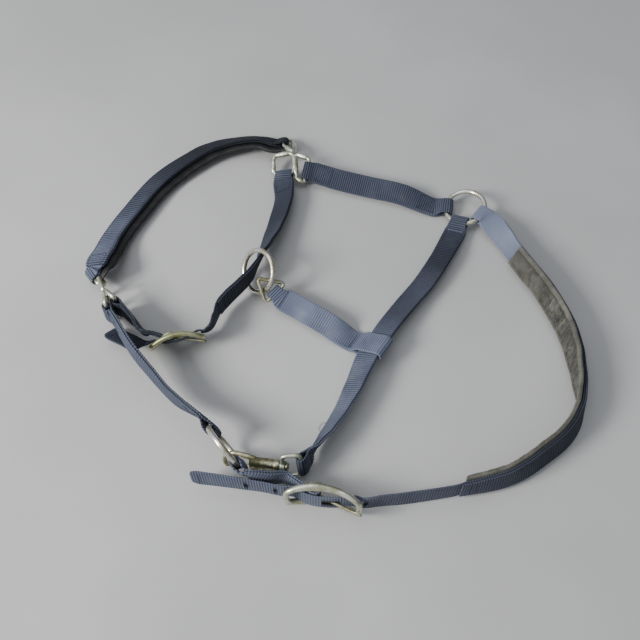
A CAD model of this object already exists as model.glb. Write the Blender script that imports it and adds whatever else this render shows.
"""Looks of a head halter: woven straps, padded lining and crown, stitching and cast
hardware.  It lies on its side on the floor (XY, +Z up): the noseband towards -X and +Y,
the crown strap round the +X side and back along -Y to its buckle.

Lengths are layout millimetres; to_frame turns them into metres of the frame.
"""
import math
from collections import namedtuple

import bmesh
import bpy
import numpy as np
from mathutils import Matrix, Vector


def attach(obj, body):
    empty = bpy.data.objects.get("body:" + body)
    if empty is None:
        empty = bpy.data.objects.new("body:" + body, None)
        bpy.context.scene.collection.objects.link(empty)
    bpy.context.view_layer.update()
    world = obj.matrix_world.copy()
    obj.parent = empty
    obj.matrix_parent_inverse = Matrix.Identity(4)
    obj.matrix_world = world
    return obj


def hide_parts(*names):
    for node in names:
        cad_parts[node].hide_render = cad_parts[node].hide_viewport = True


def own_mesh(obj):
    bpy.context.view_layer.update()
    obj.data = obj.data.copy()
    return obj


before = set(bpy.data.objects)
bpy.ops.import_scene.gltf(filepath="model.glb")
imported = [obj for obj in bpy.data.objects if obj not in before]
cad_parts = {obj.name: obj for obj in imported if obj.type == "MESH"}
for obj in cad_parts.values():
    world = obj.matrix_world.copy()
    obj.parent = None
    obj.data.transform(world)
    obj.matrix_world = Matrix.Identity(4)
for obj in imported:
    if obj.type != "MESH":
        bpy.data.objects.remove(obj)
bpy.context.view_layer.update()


def vec(*xyz):
    return np.array(xyz, float)


def unit(vector):
    vector = np.asarray(vector, float)
    return vector / np.linalg.norm(vector)


def perp(direction, axis):
    """Unit vector along the part of direction that is square to axis."""
    return unit(direction - axis * (direction @ axis))


MM = 0.001
ORIGIN = vec(2.615, 29.21, -2.84)   # layout point at the frame's origin
X = vec(1, 0, 0)
Z = vec(0, 0, 1)

# Webbing
WEB = 25.4            # width
PLY = 2.2             # room taken by one layer
PLY_BODY = 2.06       # thickness of the layer between its ribs
PLY_OFF = PLY / 2 + 0.02            # middle of each ply from the middle of a doubled strap
RIB = 2.5             # pitch of the ribs
RIB_RISE = 0.12       # half the height from rib to groove
UV_UNIT = 100.0       # millimetres to one unit of the UV map
GAP = 0.35            # running clearance round bars and rings

# Hardware, as radii of the wires and bars
RING_R = 22.5         # ring, centre line
RING_WIRE = 2.75
TRIANGLE_WIRE = 2.1
SQUARE_BAR = 2.3      # cast nose square
EYE_BAR = 2.1         # swivel eye of the snap
BUCKLE_WIRE = 2.5
BUCKLE_BAR = 2.0      # centre bar
BUCKLE_TALL = 17.6    # half height of a buckle frame

# Padding
PAD_CROWN = 3.4       # thickness
PAD_CROWN_HALF = 14.5               # half width
PAD_NOSE = 7.0        # thickness
LINING_FACE = PLY + 0.55            # back of the noseband lining, from the strap's middle
CROWN_PAD_FACE = PLY + 0.45


# ================================================================ shapes
# A shape is (vertices, faces).
def to_frame(points):
    return (np.asarray(points, float) - ORIGIN) * MM


def clamp01(value):
    return min(1.0, max(0.0, value))


def ease(part):
    """Smooth step of a part from 0 to 1."""
    return part * part * (3 - 2 * part)


def travel_at(points, i, closed=False):
    """Direction of a line of points at point i."""
    if closed:
        return unit(points[(i + 1) % len(points)] - points[i - 1])
    return unit(points[min(i + 1, len(points) - 1)] - points[max(i - 1, 0)])


def circle(center, first, second, radius, count):
    angles = [2 * math.pi * k / count for k in range(count)]
    return [center + (first * math.cos(a) + second * math.sin(a)) * radius for a in angles]


def strip_faces(rows, sides, closed=False, caps=True):
    """Faces of a skin over rows of points, each row a closed section."""
    faces = []
    for i in range(rows if closed else rows - 1):
        here, there = i * sides, (i + 1) % rows * sides
        for k in range(sides):
            after = (k + 1) % sides
            faces.append((here + k, here + after, there + after, there + k))
    if caps and not closed:
        faces.append(tuple(range(sides)))
        faces.append(tuple((rows - 1) * sides + k for k in range(sides)))
    return faces


def tube(points, radius, sides, closed=False, up=None, squash=(1.0, 1.0)):
    """Sweep a round section along points.

    radius and squash, the scales along and across up, may be given for each point."""
    points = np.array(points, float)
    radii = np.broadcast_to(radius, len(points))
    scales = np.broadcast_to(squash, (len(points), 2))
    reference = up
    verts = []
    for i, point in enumerate(points):
        travel = travel_at(points, i, closed)
        if reference is None:
            reference = Z if abs(travel[2]) < 0.9 else X
        side = perp(reference, travel)
        other = np.cross(travel, side)
        if up is None:
            reference = side
        for k in range(sides):
            angle = 2 * math.pi * (k + 0.5) / sides
            verts.append(point + side * math.cos(angle) * radii[i] * scales[i][0]
                         + other * math.sin(angle) * radii[i] * scales[i][1])
    return verts, strip_faces(len(points), sides, closed)


def rounded(corners, radius, steps):
    """Points of a closed loop through corners, each corner rounded off."""
    points = []
    for i, corner in enumerate(corners):
        back = corners[i - 1] - corner
        ahead = corners[(i + 1) % len(corners)] - corner
        half_angle = math.acos(unit(back) @ unit(ahead)) / 2
        cut = min(radius / math.tan(half_angle),
                  0.45 * np.linalg.norm(back), 0.45 * np.linalg.norm(ahead))
        start, end = corner + unit(back) * cut, corner + unit(ahead) * cut
        for k in range(steps + 1):
            part = k / steps
            points.append(start * (1 - part) ** 2 + corner * 2 * part * (1 - part)
                          + end * part * part)
    return points


def wire_loop(corners, wire, corner_radius, steps=8):
    """Flat closed loop of round wire."""
    normal = unit(np.cross(corners[1] - corners[0], corners[2] - corners[0]))
    return tube(rounded(corners, corner_radius, steps), wire, 20, closed=True, up=normal)


def lathe(origin, axis, side, profile, sides=32):
    """Solid of revolution with flat ends; profile holds (distance along axis, radius)."""
    other = np.cross(axis, side)
    verts, faces = [], []
    size = len(profile)
    for k in range(sides):
        angle = 2 * math.pi * k / sides
        radial = side * math.cos(angle) + other * math.sin(angle)
        verts += [origin + axis * x + radial * radius for x, radius in profile]
    for k in range(sides):
        here, there = k * size, (k + 1) % sides * size
        for i in range(size - 1):
            faces.append((here + i, here + i + 1, there + i + 1, there + i))
    faces.append(tuple(k * size for k in range(sides)))
    faces.append(tuple(k * size + size - 1 for k in range(sides)))
    return verts, faces


def prism(corners, up, half):
    """Flat outline thickened by half to each side."""
    count = len(corners)
    verts = [c - up * half for c in corners] + [c + up * half for c in corners]
    faces = [tuple(range(count)), tuple(range(count, 2 * count))]
    for k in range(count):
        after = (k + 1) % count
        faces.append((k, after, count + after, count + k))
    return verts, faces


def box(center, axes, size):
    verts = [center + axes[0] * (i * size[0] / 2) + axes[1] * (j * size[1] / 2)
             + axes[2] * (k * size[2] / 2)
             for i in (-1, 1) for j in (-1, 1) for k in (-1, 1)]
    return verts, [(0, 1, 3, 2), (4, 6, 7, 5), (0, 4, 5, 1),
                   (2, 3, 7, 6), (0, 2, 6, 4), (1, 5, 7, 3)]


def ellipsoid(center, axes, size, sides=20):
    verts = []
    rows = sides // 2
    for i in range(rows + 1):
        polar = math.pi * i / rows
        for k in range(sides):
            angle = 2 * math.pi * k / sides
            verts.append(center + axes[0] * size[0] * math.sin(polar) * math.cos(angle)
                         + axes[1] * size[1] * math.sin(polar) * math.sin(angle)
                         + axes[2] * size[2] * math.cos(polar))
    return verts, strip_faces(rows + 1, sides, caps=False)


def merge(shapes):
    verts, faces = [], []
    for more_verts, more_faces in shapes:
        first = len(verts)
        verts += list(more_verts)
        faces += [tuple(i + first for i in face) for face in more_faces]
    return verts, faces


class Path:
    """Smooth path through control points, with a width direction at each.

    A control is (x, y, z, lean) or (point, vector): lean is the angle in degrees
    of the width direction above the horizontal, on the left of the travel."""

    def __init__(self, controls):
        self.points = [vec(*(c[0] if len(c) == 2 else c[:3])) for c in controls]
        self.widths = []
        for i, control in enumerate(controls):
            if len(control) == 2:
                width = control[1]
            else:
                travel = travel_at(self.points, i)
                side = unit(np.cross(Z, travel))
                lean = math.radians(control[3])
                width = side * math.cos(lean) + np.cross(travel, side) * math.sin(lean)
            self.widths.append(unit(width))
        # a key is a control's number plus the part of the span after it
        self.keys = [k / 16 for k in range(16 * (len(self.points) - 1) + 1)]
        fine = np.array([self._point(key) for key in self.keys])
        steps = np.linalg.norm(np.diff(fine, axis=0), axis=1)
        self.lengths = np.r_[0, np.cumsum(steps)]
        self.length = self.lengths[-1]

    def _point(self, key):
        points = self.points
        i = min(int(key), len(points) - 2)
        t = key - i
        start, end = points[i], points[i + 1]
        before = points[i - 1] if i > 0 else 2 * start - end
        after = points[i + 2] if i + 2 < len(points) else 2 * end - start
        span = np.linalg.norm(end - start)
        leave = (end - before) / (np.linalg.norm(start - before) + span) * span
        arrive = (after - start) / (np.linalg.norm(after - end) + span) * span
        return ((2 * t ** 3 - 3 * t ** 2 + 1) * start + (t ** 3 - 2 * t ** 2 + t) * leave
                + (-2 * t ** 3 + 3 * t ** 2) * end + (t ** 3 - t ** 2) * arrive)

    def at(self, along):
        """Point, travel, width and face directions at a length along the path."""
        along = min(max(along, 0.0), self.length)
        key = float(np.interp(along, self.lengths, self.keys))
        step = 0.02
        travel = unit(self._point(min(key + step, self.keys[-1]))
                      - self._point(max(key - step, 0)))
        i = min(int(key), len(self.points) - 2)
        part = ease(key - i)
        across = perp(self.widths[i] * (1 - part) + self.widths[i + 1] * part, travel)
        return self._point(key), travel, across, np.cross(travel, across)

    def place(self, along, across=0.0, off=0.0):
        """Point at a length along, across the width and off the face."""
        point, _, width, face = self.at(along)
        return point + width * across + face * off

    def nearest(self, point):
        """Whole length along the path that comes nearest to a point."""
        return float(min(range(int(self.length)),
                         key=lambda s: np.linalg.norm(self.at(s)[0] - point)))


class Buckle:
    """Arched oval buckle standing on edge, with a centre bar.

    along runs from the keeper end to the tongue end, out is the side the frame arches to."""

    def __init__(self, center, angle, scale, lean=0.0):
        angle, lean = math.radians(angle), math.radians(lean)
        self.center = center
        self.along = vec(math.cos(angle), math.sin(angle), 0)
        level = vec(-math.sin(angle), math.cos(angle), 0)
        self.up = Z * math.cos(lean) - level * math.sin(lean)
        self.out = level * math.cos(lean) + Z * math.sin(lean)
        self.axes = (self.along, self.out, self.up)
        self.scale = scale
        self.half = 31.0 * scale
        self.bar_x = -7.0 * scale
        self.bar_rise = self.arch(self.bar_x)
        self.bar = self.at(self.bar_x, self.bar_rise)
        self.tip = self.at(self.half + 3.2, -BUCKLE_WIRE - 3.2)

    def arch(self, x):
        return 8.0 * (1 - (x / self.half) ** 2)

    def at(self, x, off, z=0.0):
        return self.center + self.along * x + self.out * off + self.up * z

    def strap_run(self):
        """Path controls of a strap from the tongue end to past the keeper end."""
        half = self.half
        return [(self.at(x, off), self.up) for x, off in (
            (half + 3.0, 6.4), (0.86 * half, 7.2), (0.6 * half, 4.9), (0.25 * half, 2.2),
            (self.bar_x, 1.2), (-0.5 * half, 2.6), (-0.66 * half, 4.8),
            (-0.88 * half, 6.8), (-half - 3.0, 5.4))]

    def tab_run(self):
        """Path controls of a tab over the keeper end and straight on to the centre bar."""
        half, rise = self.half, self.bar_rise
        return [(self.at(x, off), self.up) for x, off in (
            (-half - 4.0, 18.0), (-0.86 * half, 14.6), (-0.6 * half, 10.6),
            (self.bar_x - 6.0, rise + 0.1), (self.bar_x, rise), (self.bar_x + 5.2, rise))]

    def tongue_crossing(self, path, start):
        """Length along a path, from start on, where it comes nearest to the tongue."""
        line = unit(self.tip - self.bar)
        found = []
        for k in range(600):
            along = start + k * 0.1
            offset = path.at(along)[0] - self.bar
            found.append((np.linalg.norm(offset - line * (offset @ line)), along))
        return min(found)[1]


# ================================================================ materials
class Shader:
    """Short-hand for building a node material."""

    def __init__(self, name):
        self.material = bpy.data.materials.new(name)
        self.material.use_nodes = True
        self.tree = self.material.node_tree
        self.principled = self.tree.nodes["Principled BSDF"]
        self.coords = self.node("ShaderNodeTexCoord").outputs["Object"]

    def node(self, kind, **props):
        node = self.tree.nodes.new(kind)
        for name, value in props.items():
            setattr(node, name, value)
        return node

    def put(self, socket, value):
        """Link an output to a socket, or set its value."""
        if hasattr(value, "is_output"):
            self.tree.links.new(value, socket)
        else:
            socket.default_value = value

    def math(self, operation, first, second=0.0, third=0.0, clamp=False):
        node = self.node("ShaderNodeMath", operation=operation, use_clamp=clamp)
        for socket, value in zip(node.inputs, (first, second, third)):
            self.put(socket, value)
        return node.outputs[0]

    def times(self, value, factor):
        return self.math("MULTIPLY", value, factor)

    def times_add(self, value, factor, plus):
        return self.math("MULTIPLY_ADD", value, factor, plus)

    def wave(self, value, pitch):
        """Sine of a length, from 0 to 1."""
        sine = self.math("SINE", self.times(value, 2 * math.pi / pitch))
        return self.times_add(sine, factor=0.5, plus=0.5)

    def mix(self, part, under, over):
        node = self.node("ShaderNodeMix", data_type="RGBA")
        self.put(node.inputs[0], part)
        for i, color in ((6, under), (7, over)):
            self.put(node.inputs[i], color if hasattr(color, "is_output") else (*color, 1))
        return node.outputs[2]

    def noise(self, scale, detail=3.0, rough=0.55):
        node = self.node("ShaderNodeTexNoise")
        self.put(node.inputs["Vector"], self.coords)
        node.inputs["Scale"].default_value = scale
        node.inputs["Detail"].default_value = detail
        node.inputs["Roughness"].default_value = rough
        return node.outputs["Fac"]

    def ramp(self, value, start, end):
        """Smooth 0..1 as value runs from start to end."""
        node = self.node("ShaderNodeMapRange", interpolation_type="SMOOTHSTEP")
        self.put(node.inputs["Value"], value)
        node.inputs["From Min"].default_value = start
        node.inputs["From Max"].default_value = end
        return node.outputs[0]

    def patch(self, color, value, start, end, amount, rgb):
        """Lay rgb over color by amount, where value runs from start to end."""
        return self.mix(self.times(self.ramp(value, start, end), amount), color, rgb)

    def tone(self):
        return self.node("ShaderNodeAttribute", attribute_name="tone").outputs["Fac"]

    def toned(self, color, tone):
        node = self.node("ShaderNodeVectorMath", operation="SCALE")
        self.put(node.inputs[0], color)
        self.put(node.inputs["Scale"], tone)
        return node.outputs[0]

    def bump(self, height, distance, strength):
        node = self.node("ShaderNodeBump")
        node.inputs["Strength"].default_value = strength
        node.inputs["Distance"].default_value = distance
        self.put(node.inputs["Height"], height)
        return node.outputs[0]

    def finish(self, settings):
        """Put settings on the principled node and return the material."""
        for name, value in settings.items():
            self.put(self.principled.inputs[name], value)
        return self.material


def webbing_material(name):
    """Ribbed slate webbing, faded and chafed."""
    dark, base, pale = (0.012, 0.016, 0.032), (0.094, 0.116, 0.185), (0.250, 0.285, 0.385)
    web = Shader(name)
    uv = web.node("ShaderNodeSeparateXYZ")
    web.put(uv.inputs[0], web.node("ShaderNodeUVMap", uv_map="web").outputs[0])
    along = web.times(uv.outputs[0], UV_UNIT)
    across = web.times(uv.outputs[1], UV_UNIT)
    # ribs across the strap, with fine warp threads running over each
    ribs = web.wave(along, pitch=RIB)
    warp = web.wave(across, pitch=0.62)
    weave = web.times_add(warp, factor=0.14, plus=web.times(ribs, factor=0.86))
    # where the strap has faded it has also worn smooth, towards the middle height
    tone = web.tone()
    middle = 0.52
    keep = web.times_add(web.ramp(tone, start=0.74, end=1.0), factor=-0.70, plus=1.0)
    weave = web.times_add(web.math("SUBTRACT", weave, middle), factor=keep, plus=middle)
    fibre = web.noise(scale=2600.0, detail=2.0)
    color = web.mix(web.ramp(weave, start=0.10, end=0.60), dark, base)
    edge = web.math("ABSOLUTE", across)
    layers = (                       # value, start, end, amount, colour
        (weave, 0.55, 1.0, 0.55, pale),                                     # rib tops
        (web.noise(scale=14.0, detail=4.0, rough=0.6), 0.42, 0.70, 0.42, pale),   # fading
        (fibre, 0.50, 0.75, 0.30, pale),                                    # hairs
        (edge, 11.2, 12.6, 0.35, pale),                                     # chafed edges
        (web.noise(scale=55.0, detail=5.0, rough=0.65),
         0.56, 0.78, 0.22, (0.30, 0.29, 0.25)),                             # dust
        (tone, 0.74, 1.1, 0.36, (0.150, 0.162, 0.190)),                     # grey where faded
    )
    for layer in layers:
        color = web.patch(color, *layer)
    return web.finish({
        "Base Color": web.toned(color, tone),
        "Roughness": web.times_add(weave, factor=-0.12, plus=0.80),
        "Sheen Weight": web.times(tone, factor=0.30),
        "Sheen Roughness": 0.45,
        "Sheen Tint": (0.70, 0.78, 1.0, 1),
        "Specular IOR Level": 0.22,
        "Normal": web.bump(web.times_add(fibre, factor=0.25, plus=weave),
                           distance=0.00035, strength=0.9)})


def lining_material(name):
    """Black leather with pores and brown scuffs."""
    hide = Shader(name)
    grain = hide.node("ShaderNodeTexVoronoi", feature="DISTANCE_TO_EDGE")
    hide.put(grain.inputs["Vector"], hide.coords)
    grain.inputs["Scale"].default_value = 900.0
    pores = hide.ramp(grain.outputs["Distance"], start=0.0, end=0.12)
    cloud = hide.noise(scale=30.0, detail=4.0)
    color = hide.mix(hide.ramp(cloud, start=0.4, end=0.7),
                     under=(0.005, 0.005, 0.006), over=(0.014, 0.014, 0.014))
    color = hide.patch(color, hide.noise(scale=160.0, detail=5.0, rough=0.7),
                       start=0.60, end=0.75, amount=0.30, rgb=(0.060, 0.052, 0.044))
    height = hide.times_add(hide.noise(scale=240.0, detail=3.0), factor=0.8, plus=pores)
    return hide.finish({
        "Base Color": color,
        "Roughness": hide.times_add(cloud, factor=0.22, plus=0.34),
        "Specular IOR Level": 0.40,
        "Normal": hide.bump(height, distance=0.00022, strength=0.6)})


def suede_material(name):
    """Khaki suede with a cloudy nap and dark stains."""
    suede = Shader(name)
    nap = suede.noise(scale=1500.0, detail=4.0, rough=0.7)
    cloud = suede.noise(scale=40.0, detail=5.0, rough=0.6)
    color = suede.mix(suede.ramp(cloud, start=0.36, end=0.68),
                      under=(0.085, 0.083, 0.066), over=(0.165, 0.160, 0.130))
    color = suede.patch(color, nap, start=0.45, end=0.7, amount=0.35, rgb=(0.20, 0.195, 0.162))
    color = suede.patch(color, suede.noise(scale=18.0, detail=4.0, rough=0.6),
                        start=0.52, end=0.72, amount=0.45, rgb=(0.040, 0.038, 0.029))
    lumps = suede.noise(scale=330.0, detail=4.0, rough=0.6)
    return suede.finish({
        "Base Color": suede.toned(color, suede.tone()),
        "Roughness": 0.9,
        "Sheen Weight": 0.15,
        "Sheen Roughness": 0.5,
        "Normal": suede.bump(suede.times_add(lumps, factor=1.4, plus=nap),
                             distance=0.0004, strength=0.8)})


def metal_material(name, bright, tint, patina, amount, rough):
    """Worn plate: bright where it rubs, tinted where thin, dull patina in patches and hollows."""
    metal = Shader(name)
    pointiness = metal.node("ShaderNodeNewGeometry").outputs["Pointiness"]
    big = metal.noise(scale=90.0, detail=5.0, rough=0.6)
    middling = metal.noise(scale=420.0, detail=4.0, rough=0.65)
    fine = metal.noise(scale=2200.0, detail=2.0)
    color = metal.mix(metal.ramp(big, start=0.38, end=0.64), bright, tint)
    ridge = metal.ramp(pointiness, start=0.52, end=0.60)
    hollow = metal.ramp(pointiness, start=0.49, end=0.42)
    blotch = metal.times_add(middling, factor=0.45, plus=metal.times(big, factor=0.55))
    dull = metal.times(metal.ramp(blotch, start=0.50 - 0.10 * amount, end=0.62), amount)
    dull = metal.math("MAXIMUM", dull, metal.times(hollow, factor=0.8))
    rubbed = metal.math("SUBTRACT", 1.0, metal.times(ridge, factor=0.6))
    dull = metal.math("MULTIPLY", dull, rubbed, clamp=True)
    height = metal.times_add(big, factor=1.2, plus=metal.times(fine, factor=0.12))
    height = metal.times_add(middling, factor=0.6, plus=height)
    return metal.finish({
        "Base Color": metal.mix(dull, color, patina),
        "Metallic": metal.times_add(dull, factor=-0.45, plus=1.0),
        "Roughness": metal.math("ADD", metal.times_add(dull, factor=0.30, plus=rough),
                                metal.times(fine, factor=0.08)),
        "Normal": metal.bump(height, distance=0.00022, strength=0.55)})


def thread_material(name, rgb):
    """Sewing thread, streaked with a paler shade of rgb."""
    yarn = Shader(name)
    pale = tuple(min(1, channel * 1.9 + 0.02) for channel in rgb)
    streak = yarn.ramp(yarn.noise(scale=700.0, detail=2.0), start=0.35, end=0.7)
    return yarn.finish({
        "Base Color": yarn.mix(streak, rgb, pale),
        "Roughness": 0.85,
        "Specular IOR Level": 0.15,
        "Normal": yarn.bump(yarn.noise(scale=4000.0, detail=1.0),
                            distance=0.0001, strength=0.5)})


# name; bright, tint and patina colours; amount of patina; roughness
METALS = (
    ("worn_nickel_plate",
     (0.88, 0.86, 0.79), (0.62, 0.58, 0.43), (0.20, 0.19, 0.11), 0.60, 0.17),
    ("cast_plate_with_patina",
     (0.66, 0.64, 0.51), (0.44, 0.41, 0.24), (0.15, 0.15, 0.07), 0.80, 0.25),
    ("pale_cast_plate",
     (0.78, 0.78, 0.69), (0.54, 0.54, 0.41), (0.20, 0.23, 0.14), 0.70, 0.24),
    ("pale_buckle_plate",
     (0.76, 0.76, 0.66), (0.56, 0.55, 0.40), (0.21, 0.21, 0.12), 0.70, 0.23),
    ("yellowed_buckle_plate",
     (0.66, 0.66, 0.42), (0.48, 0.49, 0.22), (0.17, 0.18, 0.07), 0.70, 0.26),
    ("dark_cast_plate",
     (0.54, 0.52, 0.39), (0.36, 0.34, 0.19), (0.11, 0.11, 0.05), 0.80, 0.27),
    ("cast_plate_green_edge",
     (0.60, 0.60, 0.50), (0.46, 0.47, 0.34), (0.22, 0.29, 0.22), 0.85, 0.32),
    ("bare_steel_wire",
     (0.62, 0.62, 0.62), (0.50, 0.50, 0.50), (0.20, 0.18, 0.16), 0.3, 0.30),
)
WEBBING = webbing_material("woven_nylon_slate")
LINING = lining_material("padded_black_leather")
SUEDE = suede_material("khaki_suede")
(NICKEL, TRIANGLE_METAL, SQUARE_METAL, CROWN_BUCKLE_METAL, CHIN_BUCKLE_METAL, DARK_METAL,
 GREEN_METAL, STEEL) = [metal_material(*row) for row in METALS]
THREAD = thread_material("nylon_thread_dark", rgb=(0.010, 0.012, 0.024))
THREAD_PALE = thread_material("nylon_thread_slate", rgb=(0.12, 0.14, 0.20))
THREAD_KHAKI = thread_material("khaki_thread", rgb=(0.075, 0.072, 0.055))


# ================================================================ objects
def register(ob, body, replaces=None):
    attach(ob, body)
    if replaces:
        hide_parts(replaces)


def make(name, shape, material, body=None, replaces=None,
         smooth=True, angle=60, uvs=None, tones=None):
    """Object from a shape in layout millimetres."""
    verts, faces = shape
    mesh = bpy.data.meshes.new(name)
    mesh.from_pydata(to_frame(verts).tolist(), [], faces)
    if uvs is not None:
        layer = mesh.uv_layers.new(name="web")
        corners = np.empty(len(mesh.loops), int)
        mesh.loops.foreach_get("vertex_index", corners)
        layer.data.foreach_set("uv", np.asarray(uvs, np.float32)[corners].ravel())
    if tones is not None:
        attribute = mesh.attributes.new("tone", "FLOAT", "POINT")
        attribute.data.foreach_set("value", np.asarray(tones, np.float32))
    bm = bmesh.new()
    bm.from_mesh(mesh)
    bmesh.ops.recalc_face_normals(bm, faces=bm.faces)
    bm.to_mesh(mesh)
    bm.free()
    if smooth:
        mesh.shade_smooth()
        mesh.set_sharp_from_angle(angle=math.radians(angle))
    mesh.materials.append(material)
    ob = bpy.data.objects.new(name, mesh)
    bpy.context.scene.collection.objects.link(ob)
    if body:
        register(ob, body, replaces)
    return ob


def bake(ob):
    """Apply the object's modifiers to its mesh."""
    depsgraph = bpy.context.evaluated_depsgraph_get()
    mesh = bpy.data.meshes.new_from_object(ob.evaluated_get(depsgraph))
    old = ob.data
    ob.modifiers.clear()
    ob.data = mesh
    mesh.name = ob.name
    bpy.data.meshes.remove(old)


def cut(ob, shape, material, smooth=True):
    """Take a shape out of an object."""
    cutter = make("cutter", shape, material, smooth=smooth)
    boolean = ob.modifiers.new("cut", "BOOLEAN")
    boolean.operation = "DIFFERENCE"
    boolean.solver = "EXACT"
    boolean.object = cutter
    bake(ob)
    bpy.data.objects.remove(cutter, do_unlink=True)


def casting(name, replaces, shapes, material, body=None,
            voxel=0.42, smoothing=6, cutters=()):
    """Overlapping shapes run together into one skin with soft fillets.

    It rides the piece it replaces, unless another body is given."""
    ob = make(name, merge(shapes), material)
    skin = ob.modifiers.new("skin", "REMESH")
    skin.mode = "VOXEL"
    skin.voxel_size = voxel * MM
    skin.use_smooth_shade = True
    fillet = ob.modifiers.new("fillet", "SMOOTH")
    fillet.factor = 0.5
    fillet.iterations = smoothing
    bake(ob)
    for shape in cutters:
        cut(ob, shape, material)
    ob.data.shade_smooth()
    ob.data.set_sharp_from_angle(angle=math.radians(50))
    ob.data.materials.clear()
    ob.data.materials.append(material)
    register(ob, body or replaces, replaces)


# ================================================================ webbing
# Folded eye at a strap's end: half length and half height of its opening, and the
# width of the webbing there as a part of the full width.
Eye = namedtuple("Eye", "half_length half_height width")

# Section of one ply: (part of the half width, part of the half thickness)
PLY_OUTLINE = [
    (-1.0, 0.00), (-0.985, 0.58), (-0.94, 0.90), (-0.86, 1.0), (-0.43, 1.0), (0.0, 1.0),
    (0.43, 1.0), (0.86, 1.0), (0.94, 0.90), (0.985, 0.58), (1.0, 0.0), (0.985, -0.58),
    (0.94, -0.90), (0.86, -1.0), (0.0, -1.0), (-0.86, -1.0), (-0.94, -0.90), (-0.985, -0.58)]


def eye_profile(eye):
    """Top half of an eye, from its tip inwards: (distance from the end, offset of the ply)."""
    rise = eye.half_height + PLY / 2
    reach = PLY + min(eye.half_length, eye.half_height)
    inner = PLY + 2 * eye.half_length
    profile = []
    for k in range(9):
        angle = math.pi / 2 * k / 8
        profile.append((reach - (reach - PLY / 2) * math.cos(angle), rise * math.sin(angle)))
    start, end = max(reach + 0.4, inner - 0.7 * eye.half_height), inner + 7.0
    for k in range(8):
        part = k / 7
        profile.append((start + (end - start) * part,
                        rise * (1 - ease(part)) + PLY_OFF * ease(part)))
    return profile


def densify(line, step):
    """Even points about a step apart along a line, and their lengths along it."""
    line = np.array(line, float)
    lengths = np.r_[0, np.cumsum(np.linalg.norm(np.diff(line, axis=0), axis=1))]
    count = max(2, int(round(lengths[-1] / step)))
    even = np.linspace(0, lengths[-1], count + 1)
    return np.column_stack([np.interp(even, lengths, line[:, i]) for i in (0, 1)]), even


def ribbon(name, replaces, path, profile, widths, closed, tone, pitch=RIB):
    """One length of webbing.

    profile is the line of its middle: (length along the path, offset off its face).
    widths holds stations along the path and the widths there.
    tone is the brightness at even stations of the path."""
    if closed:
        profile = profile + profile[:1]
    line, along = densify(profile, pitch / 2)
    if closed:
        if len(line) % 2 == 0:      # ribs and grooves must meet in step
            line, along = densify(profile, along[-1] / (round(along[-1] / pitch) * 2))
        line, along = line[:-1], along[:-1]
    centers, acrosses = [], []
    for station, off in line:
        point, travel, across, face = path.at(station)
        beyond = station - min(max(station, 0.0), path.length)
        centers.append(point + travel * beyond + face * off)
        acrosses.append(across)
    knots = np.linspace(0, path.length, len(tone))
    count = len(line)
    verts, uvs, tones = [], [], []
    for i, station in enumerate(line[:, 0]):
        travel = travel_at(centers, i, closed)
        across = perp(acrosses[i], travel)
        face = np.cross(travel, across)
        half = (float(np.interp(station, *widths)) - 0.5) / 2
        shade = float(np.interp(station, knots, tone))
        rib = 1 if i % 2 == 0 else -1
        rise = rib * RIB_RISE * (1.0 - 0.6 * clamp01((shade - 0.74) / 0.30))
        end = 0.86 if not closed and i in (0, count - 1) else 1.0
        for x, y in PLY_OUTLINE:
            height = PLY_BODY / 2 * y * end + (rise if y > 0.8 else 0.0)
            jag = 0.20 * rib * math.copysign(1, x) if abs(x) > 0.93 else 0.0
            verts.append(centers[i] + across * (x * half + jag) + face * height)
            tones.append(shade)
            uvs.append(((along[i] * RIB / pitch + RIB / 4) / UV_UNIT, x * half / UV_UNIT))
    shape = verts, strip_faces(count, len(PLY_OUTLINE), closed)
    return make(name, shape, WEBBING, "halter", replaces, uvs=uvs, tones=tones)


def strap_widths(path, start_eye, end_eye=None):
    """Stations and widths of a strap; without an end eye it narrows to a tip."""
    length = path.length
    inner = PLY + 2 * start_eye.half_length
    stations = [0, inner, inner + 8]
    widths = [WEB * start_eye.width, WEB * start_eye.width, WEB]
    if end_eye:
        inner = PLY + 2 * end_eye.half_length
        stations += [length - inner - 8, length - inner, length]
        widths += [WEB, WEB * end_eye.width, WEB * end_eye.width]
    else:
        stations += [length - 8, length - 5, length - 2.5, length - 1, length + 0.1]
        widths += [WEB, WEB * 0.96, WEB * 0.86, WEB * 0.76, WEB * 0.64]
    return stations, widths


def loop_strap(name, replaces, path, start_eye, end_eye, tone, pitch=RIB):
    """Doubled strap with a folded eye at both ends."""
    end = [(path.length - along, off) for along, off in eye_profile(end_eye)]
    top = eye_profile(start_eye) + end[::-1]
    bottom = [(along, -off) for along, off in top[::-1]]
    return ribbon(name, replaces, path, top + bottom[1:-1],
                  strap_widths(path, start_eye, end_eye), True, tone, pitch)


def tail_strap(name, replaces, path, eye, join, tone):
    """Doubled strap with an eye at its start; from join one ply goes on alone to a tip."""
    start = eye_profile(eye)
    bottom = [(join - 4.0, -PLY_OFF)] + [(along, -off) for along, off in start[::-1]]
    top = start[1:] + [(join - 9.0, PLY_OFF)]
    for k in range(1, 7):
        top.append((join - 9.0 + 11.0 * k / 6, PLY_OFF * (1 - ease(k / 6))))
    top.append((path.length, 0.0))
    return ribbon(name, replaces, path, bottom + top, strap_widths(path, eye), False, tone)


HOLE = 3.8            # round adjusting hole, across
SLOT_HOLE = 4.6       # oblong tongue hole, across


def punch(strap, path, along, length, across):
    """Oblong hole through the webbing."""
    point, travel, width, face = path.at(along)
    outline = []
    for k in range(24):
        angle = 2 * math.pi * k / 24
        x = math.cos(angle) * across / 2 + math.copysign((length - across) / 2, math.cos(angle))
        outline.append(point + travel * x + width * (math.sin(angle) * across / 2))
    cut(strap, prism(outline, face, 6), WEBBING)


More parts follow.
